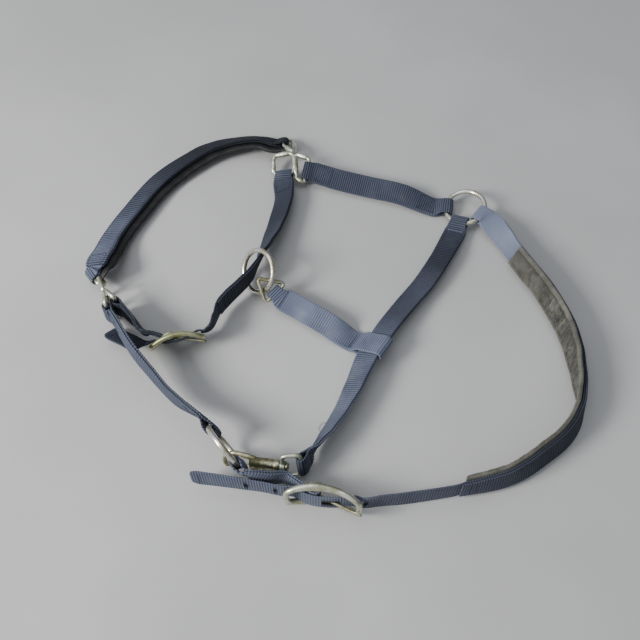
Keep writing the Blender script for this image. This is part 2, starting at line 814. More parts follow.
def punch_tail(strap, path, slot_at, slot_length, round_at):
    punch(strap, path, slot_at, slot_length, SLOT_HOLE)
    for along in round_at:
        punch(strap, path, along, HOLE, HOLE)


def notch(tab, buckle):
    """Slot in a tab where the tongue comes through."""
    cut(tab, box(buckle.bar + buckle.along * 2.0, buckle.axes, (16.0, 16.0, 6.0)),
        WEBBING, smooth=False)


# ================================================================ main places
OFF_RING, OFF_RING_NORMAL = vec(169.5, 151.0, 9.2), unit((-0.22, -0.08, 0.97))
NEAR_RING, NEAR_RING_NORMAL = vec(-86.3, -157.0, 30.0), unit((0.76, 0.60, 0.25))
NEAR_RING_LEVEL = unit(np.cross(NEAR_RING_NORMAL, Z))   # level in the ring's plane, to +X
LEAD_RING, LEAD_RING_NORMAL = vec(-66.4, 48.6, 21.6), unit((-0.67, -0.465, 0.583))
TRIANGLE = [vec(-66.5, 35.1, 27.0), vec(-36.8, 36.5, 16.0), vec(-57.9, 16.0, 8.0)]
CROWN_BUCKLE = Buckle(vec(2.0, -205.5, 18.8), angle=-9.5, scale=1.06)
CHIN_BUCKLE = Buckle(vec(-145.0, -37.0, 15.4), angle=15.0, scale=0.84, lean=33.0)

# Offside nose square: ends of the bars that hold the straps
OFF_CHEEK_BAR = (vec(-12.4, 219.2, 19.0), vec(-19.6, 193.8, 5.0))
OFF_CHIN_BAR = (vec(-56.5, 207.0, 4.0), vec(-30.0, 204.0, 12.0))
OFF_NOSE_BAR = (vec(-44.7, 243.8, 18.0), vec(-43.3, 269.6, 3.4))

# Nearside nose square: its noseband bar, and the middles of its upright bars
NEAR_NOSE = vec(-247.4, 49.4, 11.7)
NEAR_NOSE_WIDTH = unit((0.565, -0.78, 0.27))
NEAR_NOSE_TRAVEL = perp(vec(-0.345, -0.52, -0.78), NEAR_NOSE_WIDTH)
NEAR_UP = unit((0.03, 0.03, 1.0))
NEAR_CHEEK, NEAR_TAB = vec(-220.8, -0.6, 17.0), vec(-213.2, 7.0, 17.0)
NEAR_OUTER, NEAR_FORK = vec(-233.6, 32.6, 17.0), vec(-225.2, 15.6, 17.0)

# Throat snap: swivel eye with a strap bar, and a hook
SNAP_EYE = vec(-33.5, -169.5, 15.5)
SNAP_EYE_OUT = unit((0.985, 0.04, 0.08))                # from the swivel to the strap bar
SNAP_EYE_WIDTH = perp(vec(-0.08, 0.20, 0.97), SNAP_EYE_OUT)
SNAP_EYE_BAR = SNAP_EYE + SNAP_EYE_OUT * 17.0
SNAP_HOOK = vec(-79.2, -161.6, 9.8)                     # middle of the hook's opening

SQUARE_TIP = SQUARE_BAR + GAP + PLY + 0.5   # strap's end beyond the middle of a square's bar
CONNECTOR_HALF = WEB / 2 + 1.6              # half of the connector's loop round the throat


# ================================================================ strap paths
def ring_dir(normal, degrees):
    """Unit vector in the plane of a ring, at an angle from +X."""
    first = perp(X, normal)
    angle = math.radians(degrees)
    return first * math.cos(angle) + np.cross(normal, first) * math.sin(angle)


def from_ring(center, out, normal):
    width = unit(np.cross(normal, out))
    return [(center + out * reach, width) for reach in (14.0, 20.0, 29.5, 38.0)]


def from_bar(center, travel, width, tip=SQUARE_TIP):
    return [(center + travel * reach, width) for reach in (-tip, 4.0, 10.0)]


nose = Path([
    *from_bar(NEAR_NOSE, -NEAR_NOSE_TRAVEL, -NEAR_NOSE_WIDTH),
    (-242.4, 68.5, 18.5, -14.0), (-240.5, 86.5, 11.5, -15.0), (-236.5, 112.0, 6.4, -18.0),
    (-223.0, 144.5, 5.6, -17.0), (-193.0, 200.5, 5.4, -15.0), (-151.0, 243.0, 6.4, -20.0),
    (-129.0, 255.7, 7.4, -25.0), (-99.0, 263.4, 8.6, -32.0), (-73.0, 263.6, 9.6, -34.0),
    *from_bar(sum(OFF_NOSE_BAR) / 2, -X, OFF_NOSE_BAR[1] - OFF_NOSE_BAR[0])[::-1]])

bar_width = unit(OFF_CHEEK_BAR[0] - OFF_CHEEK_BAR[1])
off_cheek = Path([
    *from_bar(sum(OFF_CHEEK_BAR) / 2, perp(vec(0.96, -0.27, 0), bar_width), bar_width),
    (22.0, 194.5, 9.4, 33.0), (58.0, 183.2, 9.0, 33.0), (96.0, 171.5, 9.0, 30.0),
    *from_ring(OFF_RING, ring_dir(OFF_RING_NORMAL, 170), -OFF_RING_NORMAL)[::-1]])

near_cheek = Path([
    *from_bar(NEAR_CHEEK, unit((0.62, -0.78, 0.02)), NEAR_UP),
    (-204.0, -25.5, 25.6, 84.0), (-184.5, -55.3, 31.6, 84.0), (-163.0, -79.5, 25.8, 85.0),
    (-141.0, -103.0, 24.5, 89.0),
    *from_ring(NEAR_RING, -NEAR_RING_LEVEL, NEAR_RING_NORMAL)[::-1]])

throat = Path([
    *from_ring(OFF_RING, ring_dir(OFF_RING_NORMAL, 246), OFF_RING_NORMAL),
    (134.5, 78.0, 6.8, 21.0), (113.5, 44.0, 6.6, 20.0), (95.0, 20.0, 6.9, 22.0),
    (73.5, -10.2, 10.2, 25.0), (62.0, -28.7, 12.4, 28.0), (48.0, -51.0, 12.6, 30.0),
    (34.0, -84.0, 12.6, 42.0), (20.5, -111.5, 12.2, 53.0), (7.5, -133.0, 13.4, 60.0),
    (-3.5, -149.5, 15.2, 72.0),
    *from_bar(SNAP_EYE_BAR, -perp(unit((-0.62, -0.76, 0.12)), SNAP_EYE_WIDTH),
              SNAP_EYE_WIDTH, EYE_BAR + GAP + PLY + 0.5)[::-1]])

# the connector ends in a loop round the throat strap
crossing = throat.nearest(vec(55.0, -39.8, 12.4))
loop_width = -throat.at(crossing)[1]
bar_width = unit(TRIANGLE[1] - TRIANGLE[2])
connector = Path([
    *from_bar((TRIANGLE[1] + TRIANGLE[2]) / 2, perp(vec(0.80, -0.60, 0.0), bar_width),
              bar_width, TRIANGLE_WIRE + GAP + PLY + 0.9),
    (-20.5, 7.8, 9.4, 30.0), (7.0, -11.3, 10.0, 31.0),
    (throat.place(crossing, -(CONNECTOR_HALF + 15.0), 0.5), loop_width),
    (throat.place(crossing, -(CONNECTOR_HALF + 3.0)), loop_width),
    (throat.place(crossing, CONNECTOR_HALF + PLY), loop_width)])

bar_width = unit(OFF_CHIN_BAR[1] - OFF_CHIN_BAR[0])
chin = Path([
    *from_bar(sum(OFF_CHIN_BAR) / 2, perp(vec(0.0, -1.0, -0.05), bar_width), bar_width),
    (-42.5, 168.0, 8.8, 31.0), (-47.0, 141.0, 8.9, 33.0), (-53.0, 116.0, 10.2, 40.0),
    (-60.5, 90.0, 13.0, 54.0), (-66.5, 66.0, 17.6, 72.0), (-73.5, 46.0, 21.0, 84.0),
    (-85.0, 31.0, 19.5, 88.0), (-97.5, 17.0, 17.5, 90.0), (-106.5, 3.0, 16.8, 90.0),
    (-110.5, -10.5, 16.0, 86.0),
    *CHIN_BUCKLE.strap_run(),
    (-180.8, -39.0, 12.4, 34.0), (-188.0, -36.0, 8.8, 31.0), (-198.0, -30.0, 7.8, 30.0),
    (-208.0, -25.0, 7.6, 30.0), (-219.0, -19.5, 7.6, 31.0)])

chin_tab = Path([
    *from_bar(NEAR_TAB, unit((0.80, -0.60, 0.0)), NEAR_UP),
    (vec(-199.5, -5.0, 18.2), (0.03, -0.04, 1.0)),
    (vec(-189.0, -17.0, 21.0), (0.08, -0.24, 0.95)),
    *CHIN_BUCKLE.tab_run()])

crown = Path([
    *from_ring(OFF_RING, ring_dir(OFF_RING_NORMAL, 320), OFF_RING_NORMAL)[:3],
    (206.5, 103.5, 13.2, 58.0), (214.5, 82.5, 14.4, 68.0), (227.5, 55.0, 14.2, 67.0),
    (239.0, 32.0, 14.2, 68.0), (248.5, 5.0, 14.2, 67.0), (255.0, -19.0, 14.2, 69.0),
    (258.0, -47.0, 14.6, 75.0), (257.8, -75.0, 14.8, 86.0), (254.8, -103.0, 14.8, 100.0),
    (245.0, -125.5, 14.8, 107.0), (230.3, -143.0, 14.8, 108.0), (207.5, -160.0, 14.8, 107.0),
    (189.5, -172.0, 14.8, 105.0), (166.5, -182.5, 14.8, 100.0), (121.0, -192.5, 14.8, 93.0),
    (78.0, -199.5, 15.6, 94.0), (54.0, -202.5, 17.2, 92.0),
    *CROWN_BUCKLE.strap_run(),
    (-53.0, -190.0, 18.6, 90.0), (-73.0, -186.8, 18.2, 92.0), (-92.0, -183.6, 17.4, 94.0),
    (-117.0, -180.0, 16.4, 96.0)])

crown_tab = Path([
    *from_ring(NEAR_RING, NEAR_RING_LEVEL, -NEAR_RING_NORMAL)[:3],
    (-49.0, -183.5, 25.0, 90.0),
    *CROWN_BUCKLE.tab_run()])

# ================================================================ straps
BAR_EYE = Eye(SQUARE_BAR + 1.1, SQUARE_BAR + GAP, 0.87)
RING_EYE = Eye(5.1, RING_WIRE + GAP, 0.80)
TRIANGLE_EYE = Eye(TRIANGLE_WIRE + 1.4, TRIANGLE_WIRE + GAP + 0.2, 0.65)
SNAP_STRAP_EYE = Eye(EYE_BAR + 1.1, EYE_BAR + GAP, 0.98)
THROAT_LOOP = Eye(CONNECTOR_HALF, PLY + 1.25, 1.0)
BUCKLE_EYE = Eye(3.1, BUCKLE_BAR + GAP, 1.0)

loop_strap("noseband_webbing_weave", "noseband_webbing", nose, BAR_EYE, BAR_EYE,
           tone=(0.5, 0.72, 0.55, 0.38, 0.26, 0.17, 0.11, 0.08, 0.07, 0.07), pitch=3.0)
loop_strap("offside_cheek_weave", "offside_cheek_strap", off_cheek, BAR_EYE, RING_EYE,
           tone=(0.28, 0.40, 0.38, 0.38, 0.42, 0.40, 0.44))
loop_strap("nearside_cheek_weave", "nearside_cheek_strap", near_cheek, BAR_EYE, RING_EYE,
           tone=(0.46, 0.52, 0.52, 0.46, 0.40, 0.34), pitch=3.1)
loop_strap("throat_weave", "throat_strap", throat, RING_EYE, SNAP_STRAP_EYE,
           tone=(0.42, 0.24, 0.20, 0.30, 0.26, 0.55, 0.62, 0.58, 0.50, 0.36))
loop_strap("connector_weave", "connector_strap", connector, TRIANGLE_EYE, THROAT_LOOP,
           tone=(0.70, 0.95, 1.0, 0.80, 0.90, 0.80, 0.75, 0.85))

chin_entry = chin.nearest(CHIN_BUCKLE.at(CHIN_BUCKLE.half + 1, 5.6))
chin_hole = CHIN_BUCKLE.tongue_crossing(chin, chin_entry)
chin_join = chin_entry - 30
chin_round_holes = [chin_hole + shift for shift in (-26.0, 40.0)]
strap = tail_strap(
    "chin_weave", "chin_strap", chin, BAR_EYE._replace(width=0.86), chin_join,
    tone=(0.45, 0.24, 0.18, 0.22, 0.16, 0.18, 0.25, 0.26, 0.28, 0.30, 0.34))
punch_tail(strap, chin, chin_hole + 2.0, 13.5, chin_round_holes)

crown_entry = crown.nearest(CROWN_BUCKLE.at(CROWN_BUCKLE.half + 1, 5.6))
crown_hole = CROWN_BUCKLE.tongue_crossing(crown, crown_entry)
crown_join = crown.nearest(vec(121, -192.5, 14.8)) - 2
crown_round_holes = [crown_hole + shift for shift in (-29.0, 54.0, 81.0)]
strap = tail_strap(
    "crown_weave", "crown_strap", crown, RING_EYE, crown_join,
    tone=(1.15, 1.22, 0.50, 0.28, 0.18, 0.17, 0.18, 0.30, 0.38, 0.44, 0.50, 0.54, 0.52))
punch_tail(strap, crown, crown_hole + 2.2, 16.5, crown_round_holes)

tab = loop_strap("chin_tab_weave", "chin_buckle_tab", chin_tab, BAR_EYE, BUCKLE_EYE,
                 tone=(0.22, 0.18, 0.18, 0.24))
notch(tab, CHIN_BUCKLE)
tab = loop_strap("crown_tab_weave", "crown_buckle_tab", crown_tab, RING_EYE, BUCKLE_EYE,
                 tone=(0.60, 0.55, 0.60, 0.60))
notch(tab, CROWN_BUCKLE)


# ================================================================ stitching
def sew(name, shapes, material=THREAD):
    make(name, merge(shapes), material, "halter")


def hole_rim(path, along, side):
    """Melted rim round a punched hole."""
    _, travel, width, face = path.at(along)
    center = path.place(along, off=side * PLY_OFF)
    return tube(circle(center, travel, width, 2.05, 20), 0.26, 6, closed=True, up=face)


def stitch(path, along, across, side, run, slant, off):
    """One stitch on a face of the strap, dipping into the webbing at both ends."""
    points = [path.place(along + run * x / 2, across + slant * x / 2,
                         side * (off + 0.32 * (1 - x * x) - 0.22))
              for x in (-1, -0.5, 0, 0.5, 1)]
    return tube(points, [0.28, 0.35, 0.37, 0.35, 0.28], 6)


def stitches(path, rows, sides=(-1, 1), off=PLY, pitch=2.9):
    """Straight rows of stitches; a row is (start, end, across at start, across at end)."""
    shapes = []
    for start, end, across, end_across in rows:
        run, slant = end - start, end_across - across
        count = max(1, int(round(math.hypot(run, slant) / pitch)))
        for k in range(count):
            part = (k + 0.5) / count
            for side in sides:
                shapes.append(stitch(path, start + run * part, across + slant * part, side,
                                     run / count * 0.72, slant / count * 0.72, off))
    return shapes


def cross_row(along, half):
    return (along, along, -half, half)


def edge_rows(start, end, half):
    return [(start, end, -half, -half), (start, end, half, half)]


def box_rows(start, end, half=9.0, diagonal=True):
    rows = [cross_row(start, half), cross_row(end, half), *edge_rows(start, end, half)]
    return rows + [(start, end, -half, half)] if diagonal else rows


def tail_stitches(path, join, sides=(-1, 1)):
    """Two rows before the join, and one at the tip of the single ply."""
    return (stitches(path, [cross_row(join - back, 9.0) for back in (12.0, 18.0)], sides)
            + stitches(path, [cross_row(path.length - 7.5, 8.5)], off=PLY / 2))


for name, path, holes in (("crown_hole_rims", crown, crown_round_holes),
                          ("chin_hole_rims", chin, chin_round_holes)):
    sew(name, [hole_rim(path, along, side) for along in holes for side in (-1, 1)])

end = nose.length
sew("noseband_stitching",
    stitches(nose, box_rows(17.0, 34.0, 9.2, diagonal=False), sides=(1,))
    + stitches(nose, [cross_row(20.0, 8.5)], sides=(1,), pitch=2.2)
    + stitches(nose, box_rows(end - 40.0, end - 19.0, 9.2)
               + edge_rows(36.0, end - 42.0, 10.6), sides=(1,)))
for name, path in (("offside_cheek_stitching", off_cheek),
                   ("nearside_cheek_stitching", near_cheek)):
    end = path.length
    sew(name, stitches(path, box_rows(17.0, 36.0) + box_rows(end - 42.0, end - 22.0)))
end = throat.length
sew("throat_stitching", stitches(throat, box_rows(25.0, 42.0, diagonal=False)
                                 + box_rows(end - 34.0, end - 15.0)))
sew("throat_ring_stitching", stitches(throat, [cross_row(21.5, 8.6)], pitch=2.7), THREAD_PALE)
end = connector.length - 2 * CONNECTOR_HALF - PLY - 10.0
sew("connector_stitching",
    stitches(connector, [cross_row(17.0, 10.5), cross_row(18.3, 10.5)], pitch=1.9)
    + stitches(connector, [cross_row(end, 10.0), cross_row(end - 3.0, 10.0)], pitch=2.2))
sew("chin_stitching", stitches(chin, box_rows(16.0, 34.0, diagonal=False))
    + tail_stitches(chin, chin_join))
sew("crown_stitching", tail_stitches(crown, crown_join, sides=(-1,)))


# ================================================================ padding
def smooth_loop(points, parts=3):
    """Closed Catmull-Rom line through section points."""
    points = [np.array(point, float) for point in points]
    count = len(points)
    line = []
    for i in range(count):
        before, start = points[i - 1], points[i]
        end, after = points[(i + 1) % count], points[(i + 2) % count]
        for k in range(parts):
            t = k / parts
            line.append(0.5 * (2 * start + (end - before) * t
                               + (2 * before - 5 * start + 4 * end - after) * t * t
                               + (3 * start - before - 3 * end + after) * t ** 3))
    return line


def wander(along, across, seed):
    """Smooth repeatable wander, about -1..1."""
    return (math.sin(along * 0.161 + seed)
            + 0.7 * math.sin(along * 0.377 + 2.1 * seed + across * 0.15)
            + 0.5 * math.sin(along * 0.893 + 3.7 * seed - across * 0.22)) / 2.2


def patch_noise(x, y, seed):
    """Smooth repeatable noise, 0..1."""
    def corner(i, j):
        value = math.sin(i * 127.1 + j * 311.7 + seed * 74.7) * 43758.5453
        return value - math.floor(value)
    i, j = math.floor(x), math.floor(y)
    part_x, part_y = ease(x - i), ease(y - j)
    low, high = (corner(i, row) * (1 - part_x) + corner(i + 1, row) * part_x
                 for row in (j, j + 1))
    return low * (1 - part_y) + high * part_y


def line_noise(x, y, seed):
    """Thin irregular lines: 1 on a line, falling to 0."""
    value = (0.65 * patch_noise(x, y, seed)
             + 0.35 * patch_noise(x * 2.1 + 3.1, y * 2.1 - 1.7, seed + 5))
    return max(0.0, 1 - abs(value - 0.5) / 0.11) ** 1.3


def padded(name, replaces, path, start, end, section_at, material, step):
    """Pad along a path; section_at gives its outline as (across, off the face, tone)."""
    rows = int((end - start) / step)
    verts, tones = [], []
    for i in range(rows + 1):
        along = start + (end - start) * i / rows
        section = section_at(along)
        point, _, width, face = path.at(along)
        for across, off, tone in section:
            verts.append(point + width * across + face * off)
            tones.append(tone)
    shape = verts, strip_faces(rows + 1, len(section))
    make(name, shape, material, "halter", replaces, angle=50, tones=tones)


def topstitch(path, along, half_length, across, off, bow, radius):
    """Stitch on a pad, bowed off the face towards its ends."""
    return tube([path.place(along + x * half_length, across, off + bow * x * x)
                 for x in (-1, -0.5, 0, 0.5, 1)], radius, 6)


def loose_thread(name, path, along, across, off, steps, radius):
    """Loose thread from a point; steps holds (across, along, off the face) from there."""
    point, travel, width, face = path.at(along)
    root = point + width * across + face * off
    points = [root] + [root + width * x + travel * y + face * z for x, y, z in steps]
    sew(name, [tube(points, radius, 6)])


def nose_section(along):
    """Wedge: thin under the outer edge of the webbing, a fat roll along the inner edge."""
    near = ease(clamp01((along - 7.0) / 13.0))
    far = clamp01((nose.length - 10.0 - along) / 5.0)
    full = (0.25 + 0.75 * near) * (0.70 + 0.30 * far)
    roll = (PAD_NOSE + 0.5 * wander(along, 0, 1.3)) * full
    inner = -19.4 * (0.62 + 0.38 * near)
    outline = [                     # across, depth below the webbing
        (8.8, 0.0), (0.0, 0.0), (-11.0, 0.0), (inner * 0.86, 0.1 * roll),
        (inner * 1.03, 0.30 * roll), (inner * 1.06, 0.58 * roll), (inner * 0.97, 0.86 * roll),
        (inner * 0.78, roll), (-6.0, 0.78 * roll), (3.0, 0.42 * roll),
        (9.6, 1.7 * full + 0.4), (10.6, 0.8 * full + 0.2)]
    section = []
    for across, depth in smooth_loop(outline):
        if depth > 0.4:
            lump = 0.34 * wander(along * 2.3, across * 2, 0.7) * full
            depth -= lump
            across -= 0.25 * lump
        section.append((across, -LINING_FACE - max(depth, 0.0), 1.0))
    return section


padded("noseband_lining", "noseband_padding", nose, 10.5, nose.length - 10.0,
       nose_section, LINING, step=1.6)
sew("lining_stitching", [
    topstitch(nose, 34.0 + i * 3.2, half_length=1.15, across=-14.6,
              off=-LINING_FACE - PAD_NOSE - 0.42, bow=0.5, radius=0.25)
    for i in range(int((nose.length - 60) / 3.2))])
loose_thread("loose_thread_noseband", nose, 19.0, -15.0, -(LINING_FACE + 2.0),
             [(-2.6, 0.6, 0.5), (-4.2, 1.8, 1.1), (-5.6, 1.4, 1.0)], radius=0.22)

pad_start = crown.nearest(vec(202.5, 107.0, 12.8)) + 33.0
pad_end = crown.nearest(vec(131.0, -190.5, 14.8)) + 0.5


def crown_section(along):
    """Raised rolled hem along the +width edge, a thin one along the other, and a
    creased channel between."""
    full = max(0.0, min(1.0, (along - pad_start) / 3.0, (pad_end - along) / 5.0))
    full = math.sqrt(1 - (1 - full) ** 2) * 0.62 + 0.38
    thick = PAD_CROWN * full + 0.25 * wander(along * 1.4, 0, 2.2) * full
    low = -12.6
    high = PAD_CROWN_HALF + 0.9 + 0.4 * wander(along * 0.8, 0, 0.4)
    outline = [                     # across, rise above the webbing
        (low + 0.2, 0.0), (-6.0, 0.0), (0.0, 0.0), (6.0, 0.0), (high - 1.6, 0.1),
        (high - 0.2, 0.40 * thick), (high + 0.1, 0.80 * thick), (high - 1.5, 1.16 * thick),
        (high - 3.6, 1.18 * thick), (high - 5.2, 0.92 * thick), (high - 6.2, 0.66 * thick),
        (high - 9.5, 0.72 * thick), (1.0, 0.82 * thick), (-4.5, 0.80 * thick),
        (low + 4.2, 0.62 * thick), (low + 3.0, 0.80 * thick), (low + 1.2, 0.92 * thick),
        (low, 0.5 * thick)]
    # creases are deeper further along the strap
    deep = 0.40 + 0.60 * clamp01((along - pad_start - 15.0) / 70.0)
    section = []
    for across, rise in smooth_loop(outline):
        tone = 1.0
        if rise > 0.3 * thick:
            hem = max(clamp01((across - (high - 5.8)) / 1.6),
                      clamp01((low + 3.8 - across) / 1.4) * 0.7)
            soft = 1.0 - hem
            # slanted irregular creases and crests across the channel
            crease = max(
                line_noise(along * 0.34 + across * 0.12, across * 0.10 - along * 0.02, 1.0),
                line_noise(along * 0.62 + across * 0.26 + 9.0, across * 0.13, 4.0) * deep)
            crest = line_noise(along * 0.50 + across * 0.20 + 21.0, across * 0.12, 11.0)
            pucker = line_noise(along * 0.42 + 4.0, across * 0.06, 7.0) * hem
            rise += (0.35 * crest - 0.75 * crease) * soft * deep * full
            rise += 0.14 * wander(along * 3.1, across * 3, 2.9) * full
            rise -= 0.22 * pucker * full
            # channel dark and patchy, hems pale, creases and the foot of the hem darkest
            blotch = patch_noise(along * 0.16, across * 0.10 + 2.0, 2.0)
            hem_blotch = patch_noise(along * 0.22, across * 0.1, 6.0)
            tone = ((0.30 + 0.34 * blotch + 0.30 * crest * deep) * soft
                    + (0.70 + 0.30 * hem_blotch) * hem)
            foot = clamp01(across - (high - 7.6)) * clamp01((high - 5.2) - across)
            tone *= 1.0 - 0.70 * crease * soft * deep
            tone *= 1.0 - 0.28 * pucker
            tone *= 1.0 - 0.45 * foot
        section.append((across, CROWN_PAD_FACE + max(rise, 0.0), max(0.12, tone)))
    return section


padded("crown_pad_wrap", "crown_padding", crown, pad_start, pad_end,
       crown_section, SUEDE, step=0.9)
shapes = []
for i in range(int((pad_end - pad_start - 12) / 3.4)):
    along = pad_start + 6 + i * 3.4
    section = crown_section(along)
    for across in (PAD_CROWN_HALF - 5.2, -9.4):
        top = max(off for place, off, _ in section if abs(place - across) < 1.2)
        shapes.append(topstitch(crown, along, half_length=1.2, across=across,
                                off=top - 0.02, bow=-0.30, radius=0.22))
sew("crown_pad_stitching", shapes, THREAD_KHAKI)

# ================================================================ rings and triangle
for name, center, normal, node in (
        ("offside_ring_round", OFF_RING, OFF_RING_NORMAL, "offside_upper_ring"),
        ("nearside_ring_round", NEAR_RING, NEAR_RING_NORMAL, "nearside_upper_ring"),
        ("lead_ring_round", LEAD_RING, LEAD_RING_NORMAL, "lead_ring")):
    first = unit(np.cross(normal, vec(0.3, 1, 0.2)))
    line = circle(center, first, np.cross(normal, first), RING_R, 128)
    make(name, tube(line, RING_WIRE, 28, closed=True, up=normal), NICKEL, node, node)
make("triangle_loop_wire", wire_loop(TRIANGLE, TRIANGLE_WIRE, 3.4, steps=12),
     TRIANGLE_METAL, "triangle_loop", "triangle_loop")


# ================================================================ nose squares
def swell(start, end):
    """Side of a casting, fuller in its middle."""
    points = [start + (end - start) * part for part in (0.14, 0.28, 0.5, 0.72, 0.86)]
    radii = [SQUARE_BAR + 1.15 * part for part in (0.0, 0.75, 1.0, 0.75, 0.0)]
    return tube(points, radii, 20, up=unit(np.cross(end - start, Z)))


def offside_square():
    chin_loop = [vec(-57.5, 231.0, 14.0), vec(-32.0, 229.5, 20.5),
                 OFF_CHIN_BAR[1], OFF_CHIN_BAR[0]]
    cheek_loop = [vec(-30.5, 228.0, 20.5), *OFF_CHEEK_BAR, vec(-28.2, 197.5, 8.0)]
    nose_loop = [*OFF_NOSE_BAR, vec(-33.8, 266.8, 4.4), vec(-30.8, 227.0, 20.6)]
    sides = (
        (vec(-57.0, 230.0, 13.8), vec(-33.0, 229.2, 20.3)),
        (vec(-57.4, 229.0, 13.4), OFF_CHIN_BAR[0]),
        (vec(-30.6, 227.4, 20.2), vec(-28.4, 198.6, 8.4)),
        (vec(-31.4, 228.6, 20.2), OFF_CHIN_BAR[1]),
        (vec(-30.0, 227.6, 20.4), OFF_CHEEK_BAR[0]),
        (vec(-28.0, 198.0, 8.0), OFF_CHEEK_BAR[1]),
        (OFF_NOSE_BAR[0], vec(-31.0, 228.2, 20.4)),
        (vec(-33.6, 265.6, 4.8), vec(-31.0, 228.4, 20.2)))
    shapes = [wire_loop(chin_loop, SQUARE_BAR + 0.30, 9.5)]
    shapes += [wire_loop(loop, SQUARE_BAR + 0.02, 4.6) for loop in (cheek_loop, nose_loop)]
    shapes += [swell(start, end) for start, end in sides]
    casting("offside_nose_square_cast", "offside_nose_square", shapes, SQUARE_METAL, "halter")


def nearside_square():
    def upright(start, end, start_half, end_half):
        """Corners of a loop between two upright bars."""
        return [start + NEAR_UP * start_half, end + NEAR_UP * end_half,
                end - NEAR_UP * end_half, start - NEAR_UP * start_half]

    down = -np.cross(NEAR_NOSE_TRAVEL, NEAR_NOSE_WIDTH) * 8.8 + NEAR_NOSE_TRAVEL
    nose_ends = (NEAR_NOSE - NEAR_NOSE_WIDTH * 14.6, NEAR_NOSE + NEAR_NOSE_WIDTH * 17.5)
    loops = (upright(NEAR_OUTER, NEAR_FORK, 14.8, 14.8),
             upright(NEAR_FORK, NEAR_CHEEK, 14.6, 14.6),
             upright(NEAR_FORK + vec(1, 1, 0), NEAR_TAB, 14.4, 14.6),
             [*nose_ends, nose_ends[1] + down, nose_ends[0] + down])
    shapes = [wire_loop(loop, SQUARE_BAR + 0.02, 4.2) for loop in loops]
    # webs that fill the fork at the top and bottom
    web = [NEAR_FORK, *(end * 0.62 + NEAR_FORK * 0.38 for end in (NEAR_CHEEK, NEAR_TAB))]
    for z in (-14.6, 14.6):
        shapes.append(prism([corner + NEAR_UP * z for corner in web], NEAR_UP, 1.7))
    casting("nearside_nose_square_cast", "nearside_nose_square", shapes, SQUARE_METAL, "halter")


offside_square()
nearside_square()


# ================================================================ buckles
def buckle_frame(name, node, buckle, material, width, flare, plate, boss):
    """Oval frame with its centre bar.

    width and flare scale the wire along the arch side, away from the bar and extra at
    the bar; plate is the extra the other way; boss is the half depth of the lumps at the
    bar's ends."""
    points, squash = [], []
    for k in range(120):
        angle = 2 * math.pi * k / 120
        cos, sin = math.cos(angle), math.sin(angle)
        x = buckle.half * math.copysign(abs(cos) ** 0.6, cos)
        z = BUCKLE_TALL * math.copysign(abs(sin) ** 0.4, sin)
        points.append(buckle.at(x, buckle.arch(x), z))
        reach = (9.0 + 5.0 * plate) * buckle.scale
        near = math.exp(-((x - buckle.bar_x) / reach) ** 2) * abs(sin) ** 2
        squash.append((width + flare * near, 1.05 + plate * near))
    bar_x, rise = buckle.bar_x, buckle.bar_rise
    bar = [buckle.at(bar_x, rise, z) for z in (-BUCKLE_TALL - 0.6, BUCKLE_TALL + 0.6)]
    shapes = [tube(points, BUCKLE_WIRE, 24, closed=True, up=buckle.out, squash=squash),
              tube(bar, BUCKLE_BAR, 20, up=buckle.along)]
    for side in (-1, 1):
        shapes.append(ellipsoid(buckle.at(bar_x, rise + 0.5, side * (BUCKLE_TALL + 0.7)),
                                buckle.axes, (7.5 * buckle.scale, boss, 2.2)))
    casting(name, node, shapes, material, voxel=0.40)


def tongue(name, node, buckle):
    """Flat ring round the bar and a wire that tapers at its tip."""
    length = np.linalg.norm(buckle.tip - buckle.bar)
    line = unit(buckle.tip - buckle.bar)
    ring = circle(buckle.bar, line, np.cross(buckle.up, line), 3.25, 40)
    taper = [(3.0, 1.45), (0.3 * length, 1.5), (0.6 * length, 1.45), (length - 4.0, 1.42),
             (length - 2.0, 1.35), (length - 0.8, 1.15), (length - 0.1, 0.7)]
    shapes = [tube(ring, 0.92, 16, closed=True, up=buckle.up, squash=(2.25, 1.0)),
              tube([buckle.bar + line * x for x, _ in taper],
                   [radius for _, radius in taper], 16, up=buckle.up)]
    casting(name, node, shapes, DARK_METAL, voxel=0.28, smoothing=3)


buckle_frame("crown_buckle_cast", "crown_buckle_frame", CROWN_BUCKLE, CROWN_BUCKLE_METAL,
             width=1.14, flare=0.36, plate=0.8, boss=4.8)
buckle_frame("chin_buckle_cast", "chin_buckle_frame", CHIN_BUCKLE, CHIN_BUCKLE_METAL,
             width=1.0, flare=0.10, plate=1.0, boss=4.0)
tongue("crown_tongue_wire", "crown_buckle_tongue", CROWN_BUCKLE)
tongue("chin_tongue_wire", "chin_buckle_tongue", CHIN_BUCKLE)

# ================================================================ throat snap
SNAP_AXIS = unit(SNAP_EYE - SNAP_HOOK)              # from the hook to the eye
SNAP_SIDE = perp(unit((-0.05, -0.82, 0.57)), SNAP_AXIS)     # square to the hook's plane
SNAP_UP = np.cross(SNAP_SIDE, SNAP_AXIS)
SNAP_AXES = (SNAP_AXIS, SNAP_SIDE, SNAP_UP)
SNAP_LENGTH = np.linalg.norm(SNAP_EYE - SNAP_HOOK)
BOLT_DROP = -5.2                                    # bolt's line from the snap's axis
BOLT_LINE = SNAP_EYE + SNAP_UP * BOLT_DROP


def snap_lathe(origin, profile, sides=32):
    return lathe(origin, SNAP_AXIS, SNAP_SIDE, profile, sides)


